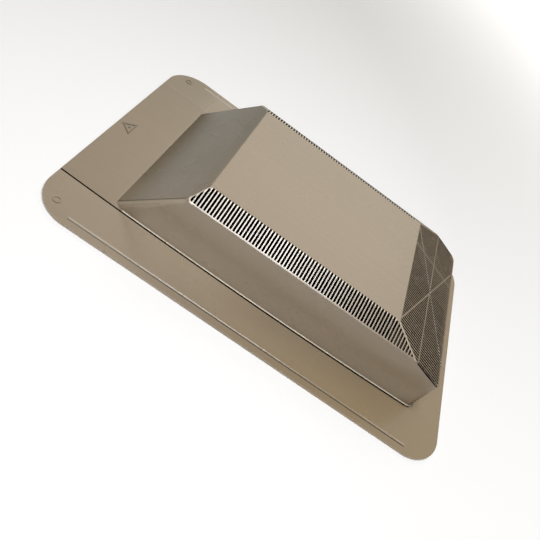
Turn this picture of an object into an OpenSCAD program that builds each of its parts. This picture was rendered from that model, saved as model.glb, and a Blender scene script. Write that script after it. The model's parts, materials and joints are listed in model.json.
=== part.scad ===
// Slant back roof vent: a moulded base flange with a round throat, and a
// slotted hood whose apron lies flush between the side flanges.
// Millimetres. Z is up, the front grille faces -Y, the upslope edge is at +Y.

/* [Base flange] */
// Width of the flange across the slope
base_w = 374; // [340:1:430]
// Length of the flange up the slope
base_len = 508; // [480:1:560]
// Thickness of the side flanges
plate_t = 3; // [2.8:0.1:6]
// Radius of the four plan corners
corner_r = 43; // [15:1:55]
// Distance of a stiffening bead's middle from the flange's long edge
bead_inset = 10.5; // [7:0.5:20]
// Distance of a bead's end from the flange's short edge
bead_end = 42; // [35:1:80]
// Height of a bead above the flange
bead_h = 1.3; // [0.8:0.1:1.8]
// Radius of a bead's round back
bead_r = 2; // [1.9:0.1:3]

/* [Nail marks] */
// Distance of a nail mark from the long edge
mark_inset_x = 22; // [18:1:30]
// Distance of a nail mark from the upslope edge
mark_inset_y = 22; // [18:1:30]
// Outer radius of the raised ring
mark_r = 4.5; // [3.5:0.1:6]
// Width of the raised ring
mark_line = 1.3; // [0.8:0.1:2]
// Height of the ring and of the slope arrow
mark_h = 0.7; // [0.4:0.1:1]

/* [Throat] */
// Inner radius of the round throat, for an eight inch roof opening
throat_r = 101.6; // [90:0.1:104]
// Wall of the collar round the throat
collar_t = 2.5; // [2:0.1:4]
// Height of the collar above the underside
collar_h = 28; // [15:1:40]
// Place of the throat's middle along the slope
throat_y = -66; // [-80:1:20]

/* [Hood] */
// Width of the hood between its straight upper wall edges
hood_w = 249.2; // [235:0.2:262]
// Width of the hood's foot across its lip, at the ends of the seam
foot_w = 247.8; // [235:0.2:262]
// How far each wall's foot bows out halfway along the seam
wall_bow = 4.7; // [0:0.1:8]
// Width of the lip that borders the foot of the walls
lip_w = 1; // [0.6:0.1:3]
// Height of the lip above the flange
lip_h = 0.4; // [0:0.1:1]
// Height of the top panel above the underside
hood_h = 77.7; // [70:0.1:90]
// Height of the fold between a wall and its slotted side
fold_z = 65.4; // [60:0.1:68]
// Width of the flat top panel
panel_w = 199.4; // [180:0.2:215]
// Foot of the slanted back, on the flange
back_foot_y = 190.2; // [185:0.2:200]
// Upslope edge of the top panel
panel_back_y = 115; // [105:0.5:125]
// Front edge of the top panel
panel_front_y = -132.2; // [-140:0.2:-120]
// Front face of the vertical skirt
skirt_y = -211.8; // [-216:0.2:-205]
// Height of the skirt's upper edge
skirt_z = 50.6; // [40:0.2:56]
// Wall of the hood
wall_t = 2.4; // [1.8:0.1:3]
// Thickness of the apron
apron_t = 1.8; // [1.5:0.1:2.2]
// Gap between the hood's edge and the flange, at the left and the front
seam_gap = 1.6; // [1:0.1:3]
// Gap on the right, where the hood's edge lies close to the flange
close_gap = 0.2; // [0.1:0.1:3]
// Plan radius of the front corners
front_r = 7; // [4:0.5:12]
// Width of the slanted back at its foot, between its crisp corners
slant_foot_w = 234; // [228:1:236]
// Plan radius of the back corners at their foot
back_foot_r = 14; // [10:0.5:20]
// Plan radius of the back corners at the fold
back_fold_r = 4; // [3:0.5:6]

/* [Grilles] */
// Spacing of the slots in the sides
slot_pitch = 4; // [3.6:0.1:6]
// Spacing of the slots in the front
front_pitch = 3.95; // [3.6:0.05:6]
// Width of a slot
slot_w = 2.2; // [1.6:0.1:3]
// Plain rim between a slot's end and the edges of its face
rim = 1.6; // [1.2:0.1:3]
// Width of the ribs that cross the front grille
rib_w = 1.6; // [1.2:0.1:3]
// Which slat of the front grille is wider, counted from its middle
wide_slat = 14; // [8:1:20]
// Width of the two wider slats
wide_slat_w = 2.8; // [2:0.1:4]
// Width of the groove along each edge of the front grille
edge_groove_w = 1.3; // [0.8:0.1:1.8]
// Depth of that groove
edge_groove_h = 2.6; // [1:0.1:4]
// Radius of the slotted sides' back corner
grille_r = 3.5; // [2:0.5:6]
// How far inside the panel's corner a crossing rib starts
rib_start = 6; // [3:0.5:15]
// How far inside the skirt's corner a crossing rib ends
rib_end = 36; // [10:1:60]

/* [Hidden] */
eps = 0.01;
seat_z = plate_t - apron_t;                 // floor of the recess
lip_y = skirt_y - lip_w;                    // front of the lip
seam_mid = (base_len / 2 + lip_y) / 2;      // middle of the seam
seam_half = (base_len / 2 - lip_y) / 2;     // half its length
side_steps = 24;
over = 20;

// Slopes of the sloping faces: run in plan for each unit of height
back_run = (back_foot_y - panel_back_y) / (hood_h - plate_t);
side_run = (hood_w - panel_w) / 2 / (hood_h - fold_z);
front_run = (panel_front_y - skirt_y) / (hood_h - skirt_z);
// How far a face's trace moves in plan when the face is set in by 1
back_set = sqrt(1 + back_run * back_run);
side_set = sqrt(1 + side_run * side_run);
front_set = sqrt(1 + front_run * front_run);

function back_y(z, in = 0) = back_foot_y - back_run * (z - plate_t) - in * back_set;
function front_y(z, in = 0) = panel_front_y - front_run * (hood_h - z) + in * front_set;
function side_x(z, in = 0) = panel_w / 2 + side_run * (hood_h - z) - in * side_set;
// Height at which a set-in side face meets a set-in wall
function fold_at(in) = hood_h - (hood_w / 2 - in - panel_w / 2 + in * side_set) / side_run;
// Half width of the hood's foot, out to its lip, at a place along the slope
function seam_x(y) = foot_w / 2 + wall_bow * (1 - pow((y - seam_mid) / seam_half, 2));
function seam_side(y0, y1, add) =
    [for (i = [0 : side_steps]) let (y = y0 + (y1 - y0) * i / side_steps) [seam_x(y) + add, y]];
// Back corner of the hood's foot in plan: an arc that is smooth with the wall
// and ends at the slanted back in a crisp corner
foot_x = seam_x(back_foot_y) - lip_w;
foot_cx = foot_x - back_foot_r;
foot_cy = back_foot_y - sqrt(pow(back_foot_r, 2) - pow(slant_foot_w / 2 - foot_cx, 2));
function foot_corner(in) =
    let (r = back_foot_r - in, end = asin(min(1, (back_y(plate_t, in) - foot_cy) / r)))
    [for (i = [0 : 12]) let (a = end * i / 12) [foot_cx + r * cos(a), foot_cy + r * sin(a)]];
function both_sides(side) =
    concat(side, [for (i = [len(side) - 1 : -1 : 0]) [-side[i].x, side[i].y]]);

module disc(x, y, z, r) {
    for (s = [-1, 1]) translate([s * x, y, z]) cylinder(r = r, h = eps, $fn = 32);
}

// Plan of the hood's foot with its rounded front corners, grown by a gap
module foot_plan(grow, back) {
    r = front_r + lip_w + grow;
    y = lip_y - grow + r;
    x = seam_x(y) + grow - r;
    polygon(both_sides(seam_side(y, back, grow)));
    translate([-x, y - r]) square([2 * x, r + eps]);
    for (s = [-1, 1]) translate([s * x, y]) circle(r = r, $fn = 64);
}

// The hood's form above z0, set in by a wall. The hull carries the bowed
// foot up to the straight fold; the front slope is cut afterwards.
module hood_form(in, z0) {
    fold = fold_at(in);
    foot_in_y = skirt_y + in;
    fr = front_r - in;
    kr = back_fold_r - in;
    foot_in = in + lip_w;
    difference() {
        hull() {
            translate([0, 0, z0]) linear_extrude(eps)
                polygon(both_sides(concat(
                    seam_side(foot_in_y + fr, foot_cy, -foot_in), foot_corner(in))));
            disc(seam_x(skirt_y + front_r) - foot_in - fr, foot_in_y + fr, z0, fr);
            disc(hood_w / 2 - in - fr, foot_in_y + fr, fold, fr);
            disc(hood_w / 2 - in - kr, back_y(fold, in) - kr, fold, kr);
            translate([0, 0, hood_h - in - eps]) linear_extrude(eps)
                polygon(both_sides([
                    [side_x(hood_h - in, in), foot_in_y + fr],
                    [side_x(hood_h - in, in), back_y(hood_h - in, in)]]));
        }
        rotate([90, 0, 90]) translate([0, 0, -hood_w / 2 - over])
            linear_extrude(hood_w + 2 * over) polygon([
                [front_y(hood_h + over, in), hood_h + over],
                [front_y(skirt_z - over, in), skirt_z - over],
                [skirt_y - over - 2 * over, skirt_z - over],
                [skirt_y - over - 2 * over, hood_h + over]]);
    }
}

// Plan of the slots in one slotted side, from the panel out to the fold
module side_slots() {
    x_in = side_x(hood_h) + rim / 2;
    x_out = hood_w / 2 - rim;
    back_end = back_y(fold_z) - rim;
    intersection() {
        hull() {
            polygon([
                [x_in, panel_back_y],
                [x_in + grille_r, back_y(hood_h - grille_r / side_run, rim)],
                [x_out, front_y(fold_z) + rim * 2],
                [x_in, panel_front_y + rim]]);
            translate([x_out - grille_r, back_end - grille_r * 1.4])
                circle(r = grille_r, $fn = 48);
        }
        for (i = [0 : ceil((back_end - front_y(fold_z)) / slot_pitch) + 1])
            translate([x_in - over, back_end - 3 - i * slot_pitch - slot_w / 2])
                square([60, slot_w]);
    }
}

// Plan of the slots in the front grille, less the ribs that cross it
module front_slots() {
    top_y = panel_front_y - rim / 2;
    bottom_y = skirt_y + rim;
    mid_y = (panel_front_y + skirt_y) / 2;
    count = floor((hood_w / 2 - rim * 2) / front_pitch - 0.5);
    difference() {
        intersection() {
            polygon(both_sides([
                [hood_w / 2 - front_r, bottom_y],
                [hood_w / 2 - rim, bottom_y + front_r - rim],
                [hood_w / 2 - rim, front_y(fold_z) - rim],
                [panel_w / 2 - rim, top_y]]));
            for (i = [0 : count], s = [-1, 1])
                translate([s * (i + 0.5) * front_pitch - slot_w / 2, bottom_y - over])
                    square([slot_w, top_y - bottom_y + 2 * over]);
        }
        translate([-hood_w / 2, mid_y - rib_w / 2]) square([hood_w, rib_w]);
        for (s = [-1, 1]) {
            translate([s * wide_slat * front_pitch - wide_slat_w / 2, skirt_y])
                square([wide_slat_w, -skirt_y]);
            from = [s * (panel_w / 2 - rib_start), panel_front_y];
            to = [-s * (hood_w / 2 - rib_end), skirt_y];
            turn = atan2(to.y - from.y, to.x - from.x);
            translate(from) rotate(turn) translate([-over, -rib_w / 2])
                square([norm(to - from) + 2 * over, rib_w]);
        }
    }
}

// Groove between the slats of the front grille and the top edge of a wall
module edge_groove() {
    length = norm([front_y(fold_z) - skirt_y, fold_z - skirt_z]);
    x = hood_w / 2 - edge_groove_w * 1.7;
    translate([x, skirt_y, skirt_z]) rotate([atan(1 / front_run), 0, 0])
        translate([0, front_r, -edge_groove_h])
            cube([edge_groove_w, length - front_r - rim, edge_groove_h + 1]);
}

// Triangle that points up the slope, as an outline
module slope_arrow() {
    w = 25;
    h = 15;
    line = 1.6;
    difference() {
        polygon([[-w / 2, 0], [w / 2, 0], [0, h]]);
        polygon([[-w / 2 + line * 2.4, line], [w / 2 - line * 2.4, line], [0, h - line * 1.9]]);
    }
    translate([0, h / 3]) circle(r = line, $fn = 24);
}

module bead() {
    z = plate_t + bead_h - bead_r;
    half = base_len / 2 - bead_end - bead_r;
    translate([0, 0, z]) {
        rotate([90, 0, 0]) translate([0, 0, -half]) cylinder(r = bead_r, h = 2 * half, $fn = 32);
        for (s = [-1, 1]) translate([0, s * half, 0]) sphere(r = bead_r, $fn = 32);
    }
}

module base_flange() color("tan") {
    difference() {
        union() {
            linear_extrude(plate_t) union() {
                square([base_w - 2 * corner_r, base_len], center = true);
                square([base_w, base_len - 2 * corner_r], center = true);
                for (x = [-1, 1], y = [-1, 1])
                    translate([x * (base_w / 2 - corner_r), y * (base_len / 2 - corner_r)])
                        circle(r = corner_r, $fn = 96);
            }
            for (s = [-1, 1]) {
                translate([s * (base_w / 2 - bead_inset), 0, 0]) bead();
                translate([s * (base_w / 2 - mark_inset_x), base_len / 2 - mark_inset_y, plate_t - 0.2])
                    difference() {
                        cylinder(r = mark_r, h = mark_h + 0.2, $fn = 48);
                        translate([0, 0, -eps]) cylinder(r = mark_r - mark_line, h = mark_h + 1, $fn = 48);
                    }
            }
        }
        // recess for the hood and its apron, open at the upslope edge
        translate([0, 0, seat_z]) linear_extrude(plate_t) intersection() {
            foot_plan(seam_gap, base_len / 2 + 1);
            polygon(concat(seam_side(lip_y - over, base_len / 2 + 1, close_gap),
                [[-base_w / 2, base_len / 2 + 1], [-base_w / 2, lip_y - over]]));
        }
        translate([0, throat_y, -1]) cylinder(r = throat_r, h = plate_t + 2, $fn = 128);
    }
    translate([0, throat_y, 0]) difference() {
        cylinder(r = throat_r + collar_t, h = collar_h, $fn = 128);
        translate([0, 0, -1]) cylinder(r = throat_r, h = collar_h + 2, $fn = 128);
    }
}

module hood() color("tan") {
    difference() {
        union() {
            hood_form(0, seat_z);
            translate([0, 0, seat_z]) linear_extrude(apron_t + lip_h)
                foot_plan(0, foot_cy);
            translate([0, 0, seat_z]) linear_extrude(apron_t)
                polygon(both_sides(seam_side(foot_cy - 1, base_len / 2, 0)));
        }
        translate([0, 0, -eps]) hood_form(wall_t, seat_z);
        for (s = [0, 1]) mirror([s, 0, 0])
            translate([0, 0, fold_z - wall_t]) linear_extrude(over) side_slots();
        translate([0, 0, skirt_z - wall_t]) linear_extrude(over * 2) front_slots();
        for (s = [0, 1]) mirror([s, 0, 0]) edge_groove();
    }
    translate([0, base_len / 2 - 20, plate_t - 0.2]) linear_extrude(mark_h + 0.2) slope_arrow();
}

base_flange();
hood();
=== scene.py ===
import json
from math import radians
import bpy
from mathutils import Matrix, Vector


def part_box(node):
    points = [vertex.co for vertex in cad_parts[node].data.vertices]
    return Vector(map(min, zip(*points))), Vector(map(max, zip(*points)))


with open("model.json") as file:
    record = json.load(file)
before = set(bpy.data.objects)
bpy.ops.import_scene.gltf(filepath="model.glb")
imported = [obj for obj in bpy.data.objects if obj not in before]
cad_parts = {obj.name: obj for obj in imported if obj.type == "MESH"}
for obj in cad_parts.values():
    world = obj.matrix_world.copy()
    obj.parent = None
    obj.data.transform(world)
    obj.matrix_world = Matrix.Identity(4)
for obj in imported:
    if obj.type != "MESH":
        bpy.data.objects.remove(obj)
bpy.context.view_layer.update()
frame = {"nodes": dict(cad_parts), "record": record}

from types import SimpleNamespace

import bmesh
import bpy
from mathutils import Vector

scene = bpy.context.scene

# Camera: it looks down on the near long side of the vent from beside its
# back, rolled so that the long side runs from the upper left to the lower
# right of the picture.
half_pixel = 0.5 / 540
camera = bpy.data.objects.new("camera", bpy.data.cameras.new("camera"))
scene.collection.objects.link(camera)
scene.camera = camera
camera.location = (-0.5911, 0.0935, 0.4581)
camera.rotation_euler = [radians(turn) for turn in (41.294, -30.046, -69.841)]
camera.data.sensor_width = 36
camera.data.lens = 39.889
camera.data.shift_x = -half_pixel
camera.data.shift_y = half_pixel
camera.data.clip_start = 0.01
scene.view_settings.view_transform = "Standard"

# Studio: a strip light right above the near side, which mirrors it straight
# to the camera, a softbox beside the camera and broad warm ones beyond the
# far side. The white backdrop is seen, but it doesn't light the vent.
white = (1, 1, 1, 1)
warm_light = (1, 0.94, 0.82)
world = bpy.data.worlds.new("studio")
scene.world = world
world.use_nodes = True
backdrop = world.node_tree.nodes["Background"]
backdrop.inputs["Color"].default_value = white
backdrop.inputs["Strength"].default_value = 1
world.cycles_visibility.diffuse = False
world.cycles_visibility.glossy = False


def softbox(name, place, size, power, aimed=True, colour=white[:3]):
    """Add a rectangular light, in metres and watts, that is aimed at the vent or straight down."""
    lamp = bpy.data.lights.new(name, "AREA")
    lamp.shape = "RECTANGLE"
    lamp.size, lamp.size_y = size
    lamp.energy = power
    lamp.color = colour
    box = bpy.data.objects.new(name, lamp)
    scene.collection.objects.link(box)
    box.location = place
    if aimed:
        box.rotation_euler = (-Vector(place)).to_track_quat("-Z", "Y").to_euler()


softbox("strip_over", place=(-0.14, -0.09, 1.5), size=(0.34, 0.58), power=12, aimed=False)
softbox("softbox_near", place=(-1.3, 0.3, 1.3), size=(1, 1), power=15.5)
softbox("softbox_far", place=(1.8, -0.2, 1.2), size=(1.2, 1.2), power=3.2, colour=warm_light)
softbox("softbox_wide", place=(2.0, 0, 1.5), size=(2.4, 1.2), power=8.4, colour=warm_light)
softbox("softbox_corner", place=(1.3, -1.3, 1.2), size=(1.2, 1), power=2.3)

# Floor: a broad sweep of matt white paper. It glows a little, and more far
# away from the vent, so that it stays white where the light falls off.
floor_half = 8
floor_z = -0.0004
glow_centre_y = 0.9
glow_start = 1.18
glow_full = 2.65
paper_white = (0.93, 0.93, 0.93, 1)
faint_glow = (0.12, 0.12, 0.12, 1)
full_glow = (0.95, 0.95, 0.95, 1)


class Wire:
    """A socket of a material. Sums and masks of wires add the nodes that work them out."""

    def __init__(self, tree, socket=None):
        self.tree = tree
        self.socket = socket

    def into(self, socket):
        self.tree.links.new(self.socket, socket)

    def node(self, kind, settings=None, sockets=None, output=0):
        """Add a node from its settings and the values or wires of its sockets."""
        made = self.tree.nodes.new(kind)
        for key, value in (settings or {}).items():
            setattr(made, key, value)
        for key, value in (sockets or {}).items():
            if isinstance(value, Wire):
                value.into(made.inputs[key])
            else:
                made.inputs[key].default_value = value
        return Wire(self.tree, made.outputs[output])

    def math(self, operation, first, second=0):
        return self.node("ShaderNodeMath", {"operation": operation}, {0: first, 1: second})

    def __add__(self, other):
        return self.math("ADD", self, other)

    def __radd__(self, other):
        return self.math("ADD", other, self)

    def __sub__(self, other):
        return self.math("SUBTRACT", self, other)

    def __rsub__(self, other):
        return self.math("SUBTRACT", other, self)

    def __mul__(self, other):
        return self.math("MULTIPLY", self, other)

    def __rmul__(self, other):
        return self.math("MULTIPLY", other, self)

    def size(self):
        """The value without its sign."""
        return self.math("ABSOLUTE", self)

    def least(self, other):
        return self.math("MINIMUM", self, other)

    def from_nearest(self, first, pitch):
        """Distance from the nearest of a row of places, one at first and one every pitch."""
        turns = (self - first) * (1 / pitch) + 0.5
        return (self.math("FRACT", turns) - 0.5).size() * pitch

    def band(self, low, high):
        """0 up to low, 1 from high on, and a straight rise between them."""
        return self.node("ShaderNodeMapRange", {"clamp": True},
                         {"Value": self, "From Min": low, "From Max": high})

    def within(self, low, high, soft=0.2):
        """1 between low and high, with soft ends."""
        return self.band(low - soft, low + soft) * (1 - self.band(high - soft, high + soft))

    def axes(self):
        """The x, y and z of a place."""
        split = self.node("ShaderNodeSeparateXYZ", sockets={"Vector": self})
        return [Wire(self.tree, axis) for axis in split.socket.node.outputs]

    def scaled(self, x, y, z):
        return self.node("ShaderNodeMapping", sockets={"Vector": self, "Scale": (x, y, z)})

    def noise(self, scale, detail, roughness):
        return self.node("ShaderNodeTexNoise", sockets={
            "Vector": self, "Scale": scale, "Detail": detail, "Roughness": roughness})

    def mixed(self, first, second):
        """The first colour where this is 0, the second where it is 1."""
        first_colour, second_colour, mixed_colour = 6, 7, 2
        return self.node("ShaderNodeMix", {"data_type": "RGBA"},
                         {"Factor": self, first_colour: first, second_colour: second}, mixed_colour)


def paint(name, colour, roughness):
    """A plain material, its shader, and the place on the piece as a wire."""
    material = bpy.data.materials.new(name)
    material.use_nodes = True
    shader = material.node_tree.nodes["Principled BSDF"]
    shader.inputs["Base Color"].default_value = colour
    shader.inputs["Roughness"].default_value = roughness
    place = Wire(material.node_tree).node("ShaderNodeTexCoord", output="Object")
    return material, shader, place


def settle(shape, name, material):
    """Turn a finished bmesh into an object of the scene."""
    mesh = bpy.data.meshes.new(name)
    shape.to_mesh(mesh)
    shape.free()
    mesh.materials.append(material)
    piece = bpy.data.objects.new(name, mesh)
    scene.collection.objects.link(piece)
    return piece


def floor_paper():
    """White paper whose glow grows with the distance from a centre beyond the vent's back."""
    material, shader, place = paint("floor_paint", paper_white, roughness=0.9)
    across, along, _ = place.axes()
    along = along - glow_centre_y
    distance_squared = across * across + along * along
    glow = distance_squared.band(glow_start ** 2, glow_full ** 2).mixed(faint_glow, full_glow)
    glow.into(shader.inputs["Emission Color"])
    shader.inputs["Emission Strength"].default_value = 1
    return material


sweep = bmesh.new()
bmesh.ops.create_grid(sweep, x_segments=1, y_segments=1, size=floor_half)
bmesh.ops.translate(sweep, verts=sweep.verts, vec=(0, 0, floor_z))
settle(sweep, "floor", floor_paper())

# Duct mouth: a black disc of painted shade, the shade down the round duct
# that comes up through the roof deck. It lies in the floor, right under the
# vent's throat.
mm = 0.001
duct_clearance = 1.1
duct_z = 0.0002
# near black of the painted shade down the duct
duct_shade_black = (0.004, 0.004, 0.004, 1)
throat = next(mount for mount in frame["record"]["mounts"] if mount["name"] == "throat")
throat_y = throat["pos_m"][1] / mm
throat_r = throat["dims"]["r_mm"]
# the disc is painted shade: a matt black sheet where the duct is unlit
mouth = bmesh.new()
bmesh.ops.create_circle(mouth, cap_ends=True, segments=64, radius=(throat_r - duct_clearance) * mm)
bmesh.ops.translate(mouth, verts=mouth.verts, vec=(0, throat_y * mm, duct_z))
settle(mouth, "duct_shade_disc", paint("duct_painted_shade", duct_shade_black, roughness=1)[0])

# Base flange: one injection-moulded plate of tan polypropylene with a fine
# spark-eroded grain, which lies on the roof deck. The hood's bowed foot sits
# in its recess, with an open gap. Sizes from here on are in millimetres.
base_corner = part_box("base_flange")[1] / mm
plate_top = 3
recess_floor = 1.2
bead_inset = 10.5
bead_end = 42
bead_x = base_corner.x - bead_inset
bead_half = base_corner.y - bead_end
nail_ring_inset = 22
nail_ring_x = base_corner.x - nail_ring_inset
nail_ring_y = base_corner.y - nail_ring_inset
nail_ring_reach = 6
foot_half = 123.9
foot_bow = 4.7
foot_gap = 1.6
skirt_front = -211.8
lip_front = skirt_front - 1
back_foot = 190.2
foot_middle = (base_corner.y + lip_front) / 2
foot_reach = (base_corner.y - lip_front) / 2

deep_tan = (0.302, 0.236, 0.161, 1)
light_tan = (0.332, 0.260, 0.180, 1)
warm_tan = (0.320, 0.236, 0.134, 1)
shaded_tan = (0.165, 0.141, 0.092, 1)
# pale cream of the painted highlights on edges, rims, lips and slats
painted_highlight_cream = (0.78, 0.70, 0.58, 1)
# near black of the painted shade in slots, gaps, creases and the hood's inside
painted_shade_black = (0.012, 0.010, 0.008, 1)
satin = 0.25


def moulded_plastic(name, marks):
    """Tan plastic. marks(x, y, z) gives its painted shade, its painted highlights and (mask, tint) pairs.
    """
    material, shader, place = paint(name, light_tan, satin)
    x, y, z = (axis * (1 / mm) for axis in place.axes())
    dark, pale, tints = marks(x, y, z)
    dark = dark.least(1)
    # cloudy tone of the pigment, faint flow lines up the slope, fine specks
    cloud = place.noise(scale=14, detail=3, roughness=0.55).band(0.35, 0.65)
    flow = place.scaled(420, 6, 6).noise(scale=1, detail=2, roughness=0.5).band(0.3, 0.7)
    speck = place.noise(scale=900, detail=2, roughness=0.7).band(0.2, 0.8)
    tone = (cloud * 0.4 + flow * 0.55 + speck * 0.05).mixed(deep_tan, light_tan)
    for mask, tint in tints:
        tone = mask.mixed(tone, tint)
    # painted shade mixes the tone towards near black, painted highlights towards pale cream
    dark.mixed(pale.mixed(tone, painted_highlight_cream), painted_shade_black).into(shader.inputs["Base Color"])
    (satin + 0.04 * cloud + 0.65 * dark).into(shader.inputs["Roughness"])
    # where the painted shade is deepest, in the slots and gaps, the gloss goes as well, as it does on a
    # black metal
    dark.band(0.8, 0.95).into(shader.inputs["Metallic"])
    shader.inputs["Specular IOR Level"].default_value = 0.85
    grain = place.noise(scale=2600, detail=2, roughness=0.6)
    bump = place.node("ShaderNodeBump", sockets={"Height": grain, "Strength": 0.12, "Distance": 0.12 * mm})
    bump.into(shader.inputs["Normal"])
    return material


def dress(node, material):
    slots = frame["nodes"][node].data.materials
    slots.clear()
    slots.append(material)


def raised_sides(z):
    """Sides of a mark that is moulded proud of the plate."""
    return z.within(plate_top + 0.03, plate_top + 0.6, 0.03)


def flange_marks(x, y, z):
    """Painted shade in the recess, on the floor under the hood and on the flanks of beads and nail rings,
    and painted highlights on the beads.
    """
    across = x.size()
    along = y.size()
    throat_front = throat_y - throat_r
    # painted shade on the floor under the hood, deepest away from the light of the front slots
    under_hood = ((1 - across.band(foot_half - 2.9, foot_half - 1.9))
                  * y.within(skirt_front + 5.8, back_foot - 2.2, 0.5))
    shade_away_from_slots = 0.3 + 0.67 * y.band(throat_front, throat_front + 6)
    # painted shade in the recess and on its walls
    recess = (z.within(recess_floor - 0.15, plate_top - 0.1, 0.06)
              * across.within(foot_half - 3.9, foot_half + 9.1)
              * y.band(skirt_front + 0.8, skirt_front + 1.8))
    on_bead = (1 - along.band(bead_half - 1, bead_half + 1)) * z.band(plate_top - 0.1, plate_top)
    # painted shade on the bead's outer flank, painted highlight on its inner one
    bead_outside = (across.within(bead_x + 1.4, bead_x + 2.4, 0.3) * on_bead
                    * (1 - 0.35 * y.band(60, 200)))
    bead_inside = across.within(bead_x - 1.4, bead_x + 1.1, 0.4) * on_bead
    # painted shade on the flanks of the nail rings
    nail_ring = (across.within(nail_ring_x - nail_ring_reach, nail_ring_x + nail_ring_reach)
                 * y.within(nail_ring_y - nail_ring_reach, nail_ring_y + nail_ring_reach)
                 * raised_sides(z))
    # painted shade on the flange beside the wall and at the far upslope corner
    shade_beside_wall = (1 - across.band(128, 165)) * y.within(-190, 20, 45)
    far_corner_shade = x.band(100, 135) * y.band(back_foot - 5, back_foot + 15)
    # painted shade along the edge of the open gap on the near side, where the bowed foot ends
    turn = (y - foot_middle) * (1 / foot_reach)
    past_foot = across - (foot_half + foot_bow) + foot_bow * turn * turn
    gap_edge = (past_foot.within(foot_gap - 0.1, foot_gap + 0.6, 0.1)
                * z.band(plate_top - 0.1, plate_top - 0.03)
                * y.band(skirt_front + 5.8, skirt_front + 7.8) * (1 - x.band(-1, 1)))
    dark = (under_hood * shade_away_from_slots + recess * 0.98 + bead_outside * 0.75 + nail_ring * 0.9
            + gap_edge * 0.9 + shade_beside_wall * 0.3 + far_corner_shade * 0.09)
    # painted highlights on the beads, stronger at the front and back, and faint painted light further up
    # the flange
    bead_shine = 0.1 + 0.3 * (1 - y.band(-225, -120)) + 0.2 * y.band(20, 180)
    pale = bead_inside * bead_shine + y.band(20, 120) * 0.07
    upslope = y.band(60, 200) * 0.06
    downslope = (1 - y.band(-140, 60)) * 0.8
    return dark, pale, [(upslope, shaded_tan), (downslope, warm_tan)]


dress("base_flange", moulded_plastic("flange_plastic", flange_marks))

# Hood: one injection-moulded cover of the same plastic, let into the flange.
# It is an open shell under a flat panel, and its inside is painted dark as
# shade. The marks below, painted shade and painted highlights, belong to its
# grilles, its slanted back, and its walls and foot.
hood_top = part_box("hood")[1].z / mm
fold_z = 65.4
wall_half = 124.6
panel_half = 99.7
panel_back = 115
panel_front = -132.2
skirt_top = 50.6
side_fall = (hood_top - fold_z) / (wall_half - panel_half)
front_fall = (hood_top - skirt_top) / (panel_front - skirt_front)
back_fall = (hood_top - plate_top) / (back_foot - panel_back)
back_at_fold = panel_back + (hood_top - fold_z) / back_fall
front_at_fold = panel_front - (hood_top - fold_z) / front_fall


def hood_place(x, y, z):
    """A place on the hood: its distance across, the faces' heights there, and its depth under them."""
    across = x.size()
    front_z = (hood_top - front_fall * panel_front) + front_fall * y
    side_z = (hood_top + side_fall * panel_half) - side_fall * across
    back_z = (hood_top + back_fall * panel_back) - back_fall * y
    depth = front_z.least(side_z).least(back_z).least(hood_top) - z
    return SimpleNamespace(x=x, y=y, z=z, across=across, front_z=front_z, side_z=side_z,
                           depth=depth, on_skin=1 - depth.band(0.25, 0.35))


def hollow(at):
    """Painted shade on the inside of the shell, and on the low part of it behind the skirt."""
    behind_skirt = skirt_front + 7.8
    behind_back_rim = 0.7 * at.y.band(panel_back - 3, panel_back)
    inside = ((at.depth - behind_back_rim).band(0.1, 0.2)
              * at.y.within(behind_skirt, back_at_fold - 2.4, 0.1)
              * (1 - at.across.band(wall_half - 1.5, wall_half - 1.3)))
    low_inside = (at.depth.band(0.25, 0.45) * at.y.within(skirt_front + 0.5, behind_skirt, 0.1)
                  * (1 - at.across.band(wall_half - 8.1, wall_half - 7.6)))
    return inside * 0.96 + low_inside * 0.93, 0


# Side grilles: slats moulded into the sloping sides, down from the panel's
# edge, which their slots notch. Painted highlights run along the grille's
# rounded end beside the slanted back and along the mitre to the front.
side_pitch = 4
slot_w = 2.2
rim = 1.6
first_slat = 3
grille_r = 3.5
mouth_in = panel_half + rim / 2
mouth_out = wall_half - rim
first_slot = back_at_fold - rim - first_slat
back_lean = side_fall / back_fall
front_lean = (front_at_fold + rim * 2 - (panel_front + rim)) / (mouth_out - mouth_in)


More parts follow.
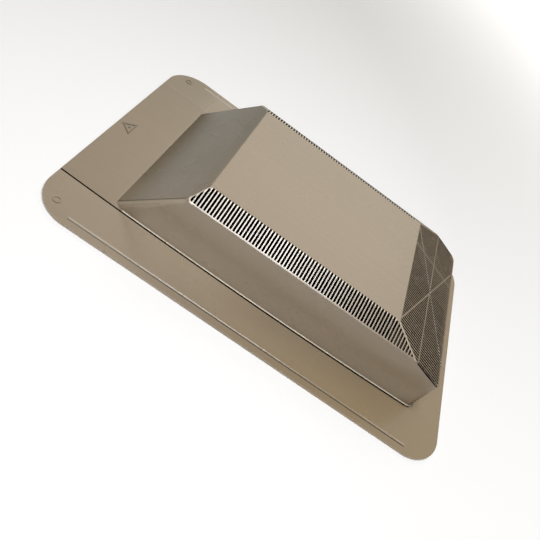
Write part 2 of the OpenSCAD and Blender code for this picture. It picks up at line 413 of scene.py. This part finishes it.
def side_grille(at):
    """Painted shade in the slot mouths, a little wider than the slots, and in the notches; painted
    highlights on the slats, the tips and the rims.
    """
    off_slot = at.y.from_nearest(first_slot, side_pitch)
    past_back = at.y - panel_back - back_lean * (at.across - panel_half)
    past_front = at.y - (panel_front + rim) - front_lean * (at.across - mouth_in)
    slats = (at.across.within(mouth_in - 0.1, mouth_out - 0.2, 0.1) * at.on_skin
             * (1 - past_back.band(-2.8, -2)) * past_front.band(0.6, 1.1))
    mouths = slats * (1 - off_slot.band(slot_w / 2 + 0.1, slot_w / 2 + 0.3))
    # the painted shade of the far edge's notches reaches further into the panel, most near its back
    far_side = at.x.band(-1, 1)
    notch_across = at.across + far_side * (1.1 + at.y.band(-60, 60))
    panel_edge = (notch_across.within(panel_half - 1.6, panel_half + 1.8, 0.1)
                  * (at.y - 4 * far_side).within(panel_front + 4.2, panel_back - 2) * at.on_skin)
    notches = panel_edge * (1 - off_slot.band(slot_w / 2, slot_w / 2 + 0.2))
    tips = panel_edge * off_slot.band(slot_w / 2 + 0.3, slot_w / 2 + 0.4)
    shallow = 1 - at.depth.band(0.9, 1.1)
    back_rim = past_back.within(-1.8, 0.9) * at.across.within(mouth_in, mouth_out - 2.5) * shallow
    end_x = at.across - (mouth_out - grille_r)
    end_y = at.y - (back_at_fold - rim - grille_r * 1.4)
    round_rim = ((end_x * end_x + end_y * end_y).within((grille_r + 0.1) ** 2, (grille_r + 1.8) ** 2, 2)
                 * (end_x + end_y).band(-1, 1) * at.z.band(fold_z - 1.4, fold_z - 0.8) * shallow)
    mitre = ((at.side_z - at.front_z).within(-0.35, 0.35, 0.1)
             * at.across.within(panel_half, wall_half - 0.3) * at.on_skin)
    # painted shade in the mouths and notches, painted highlights on the slats, tips, rims and mitre
    dark = mouths * 0.95 + notches * 0.95
    pale = slats * 0.15 + tips * 0.7 + back_rim * 0.9 + round_rim * 0.9 + mitre * 0.5
    return dark, pale


# Front grille: slats that run down the sloping front, with one level rib and
# two diagonal ribs across them. On the real vent one diagonal lies lower than
# the slats; here it is painted as a row of dots, with painted shade between
# the slats and painted highlights on them. Painted shade runs in the joints
# along the walls' top edges.
front_pitch = 3.95
rib_w = 1.6
rib_start_x = panel_half - 6
rib_end_x = wall_half - 36
rib_lean = (panel_front - skirt_front) / (rib_start_x + rib_end_x)
level_rib_y = (panel_front + skirt_front) / 2
mouth_top = panel_front - rim / 2
mouth_top_x = panel_half - rim
mitre_lean = (front_at_fold - rim - mouth_top) / (wall_half - panel_half)


def front_grille(at):
    """Painted shade in the slot mouths clear of the ribs, fading out towards the far side; painted shade
    and highlights of the dotted rib; painted shade in the joints beside the grille.
    """
    off_slot = at.across.from_nearest(front_pitch / 2, front_pitch)
    over_front = at.z - at.front_z
    down = at.y - panel_front
    dotted_rib = ((down - rib_lean * (at.x - rib_start_x)).within(-1.3, 1.3, 0.1)
                  * at.depth.within(-0.2, 0.3, 0.05) * (1 - down.band(-1.8, -0.8)))
    between_slats = 1 - off_slot.band(slot_w / 2 - 0.16, slot_w / 2 + 0.16)
    solid_rib = (down + rib_lean * (at.x + rib_start_x)).within(-rib_w / 2 - 0.1, rib_w / 2 + 0.1, 0.1)
    level_rib = at.y.within(level_rib_y - rib_w / 2, level_rib_y + rib_w / 2, 0.1)
    past_mitre = at.y - mouth_top - mitre_lean * (at.across - mouth_top_x)
    mouths = ((1 - off_slot.band(slot_w / 2 + 0.05, slot_w / 2 + 0.25))
              * (1 - over_front.size().band(0.2, 0.3)) * at.y.within(skirt_front + 3.8, mouth_top - 1, 0.3)
              * (1 - at.across.band(wall_half - 3.6, wall_half - 2.6)) * (1 - level_rib - solid_rib)
              * (1 - at.across.band(mouth_top_x - 0.1, mouth_top_x + 0.1) * past_mitre.band(-0.3, 0.1)))
    # the painted shade of the mouths fades out across the far half of the grille
    near_mouths = mouths * (1 - at.x.band(0, 60))
    joints = (at.across.within(wall_half - 2.2, wall_half + 1.4, 0.1) * over_front.within(-0.6, 0.4, 0.1)
              * at.y.within(skirt_front - 1.2, front_at_fold - 2.7))
    # painted shade in the mouths, between the slats on the dotted rib and in the joints; painted
    # highlights on the slats along it
    dark = near_mouths * 0.9 + dotted_rib * between_slats * 0.9 + joints
    pale = dotted_rib * (1 - between_slats) * 0.7
    return dark, pale


# Slanted back and apron: the slanted back faces away from the light and ends
# in a crisp edge beside its rounded corner. At its foot starts the apron,
# which is flush with the flange and carries the raised slope arrow.
slant_foot_half = 117
back_fold_r = 4
arrow_foot = base_corner.y - 20
edge_lean = (wall_half - back_fold_r - slant_foot_half) / (fold_z - plate_top)


def past_slant(at):
    """Distance across from the crisp edge of the slanted back."""
    return at.across - slant_foot_half - edge_lean * (at.z - plate_top)


def slanted_back(at):
    """Painted shade along the crisp edge, the foot, the apron and the arrow's sides, and a painted
    highlight on the round beside the edge.
    """
    beyond = past_slant(at)
    below_fold = (at.y.band(back_at_fold - 1.4, back_at_fold + 0.6)
                  * at.z.band(plate_top + 0.2, plate_top + 1.2))
    crisp_edge = beyond.within(-0.6, 0.8, 0.3) * below_fold
    round_corner = beyond.within(1.4, 4.2, 0.8) * below_fold
    foot = (at.y.within(back_foot - 1.8, back_foot + 0.1)
            * at.z.within(plate_top + 0.01, plate_top + 2, 0.01))
    apron = at.y.band(back_foot, back_foot + 0.4)
    arrow = raised_sides(at.z) * at.y.band(arrow_foot - 9, arrow_foot - 8)
    # painted shade in the crease, at the foot and on the flanks; a painted highlight on the rounded corner
    return crisp_edge * 0.65 + foot * 0.6 + apron * 0.04 + arrow * 0.6, round_corner * 0.2


def slant_shade(at):
    """Share of the shaded tone on the slanted back, least at the near end of its foot."""
    on_slant = (at.y.band(panel_back + 0.5, panel_back + 2) * (1 - past_slant(at).band(-0.4, 0.2))
                * at.z.band(plate_top + 0.02, plate_top + 0.1))
    near_foot = (1 - at.z.band(5, 25)) * (1 - at.x.band(-85, -60))
    return on_slant * (0.57 + 0.23 * at.x.band(-90, 60) - 0.25 * near_foot)


# Walls and foot: upright walls with rounded front corners on a low lip, which
# catches the light as a painted highlight. The foot is sunk into the flange's recess.
def walls_and_foot(at):
    """Painted highlights on the lip and the walls' foot; painted shade on the sunk faces below the lip,
    the turned front corners and the walls' top.
    """
    above_lip = at.z.band(plate_top + 0.5, plate_top + 0.8)
    lip = (at.z.within(plate_top + 0.1, plate_top + 1.2, 0.05)
           * at.y.within(skirt_front + 2.8, back_foot - 12.2, 1)
           * at.across.band(foot_half - 5.9, foot_half - 4.9))
    sunk = ((1 - at.z.band(plate_top - 0.15, plate_top - 0.03))
            * at.y.band(skirt_front + 0.8, skirt_front + 1.8))
    front_corner = (above_lip * (1 - at.y.band(skirt_front + 3.3, skirt_front + 5.8))
                    * at.across.band(wall_half - 7.6, wall_half - 6.6)
                    * (1 - (at.z - at.front_z).band(-1, -0.5)))
    wall = (above_lip * at.across.band(wall_half - 1.3, wall_half - 0.6)
            * at.y.band(skirt_front + 1.8, skirt_front + 11.8)
            * (1 - at.y.band(back_foot - 40.2, back_foot - 20.2)))
    wall_foot = wall * (1 - at.z.band(plate_top + 1, plate_top + 33))
    wall_top = (wall * at.z.band(plate_top + 23, fold_z - 3.4)
                * (0.06 + 0.11 * (1 - at.y.band(-190, 60))))
    # painted shade first, then painted highlights
    return sunk * 0.97 + front_corner * 0.3 + wall_top, lip + wall_foot * 0.27


def hood_marks(x, y, z):
    at = hood_place(x, y, z)
    marks = [hollow(at), side_grille(at), front_grille(at), slanted_back(at), walls_and_foot(at)]
    dark = sum(mark[0] for mark in marks)
    pale = sum(mark[1] for mark in marks)
    return dark, pale, [(slant_shade(at), shaded_tan)]


dress("hood", moulded_plastic("hood_plastic", hood_marks))
